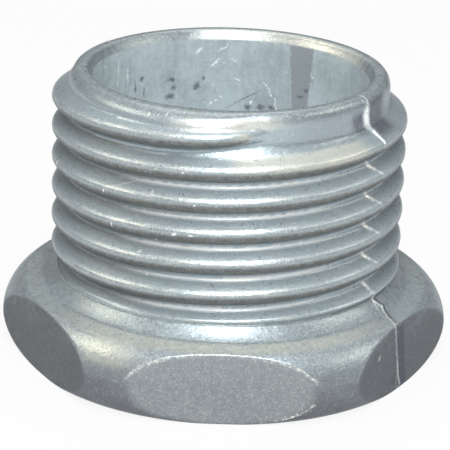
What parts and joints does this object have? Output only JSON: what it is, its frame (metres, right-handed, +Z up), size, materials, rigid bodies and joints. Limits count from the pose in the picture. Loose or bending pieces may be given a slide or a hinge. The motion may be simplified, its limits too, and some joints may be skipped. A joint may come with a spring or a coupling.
{
  "type": "conduit nipple",
  "caption": "Short die-cast conduit nipple: a threaded barrel on a rounded hexagonal head, with a smooth round passage for wires through both.",
  "frame": {"origin": "centre of the head's flat face, on the axis of the passage", "axes": "+Z up the barrel along the passage, -Y square to a flat of the hexagon, +X towards a corner of it"},
  "size_m": [0.0266, 0.0242, 0.0172],
  "materials": {
    "cast_zinc": "bare die-cast zinc alloy, bluish grey, satin with fine cast grain and small bright scuffs"
  },
  "bodies": {
    "root": {"nipple": "cast_zinc"}
  },
  "joints": []
}
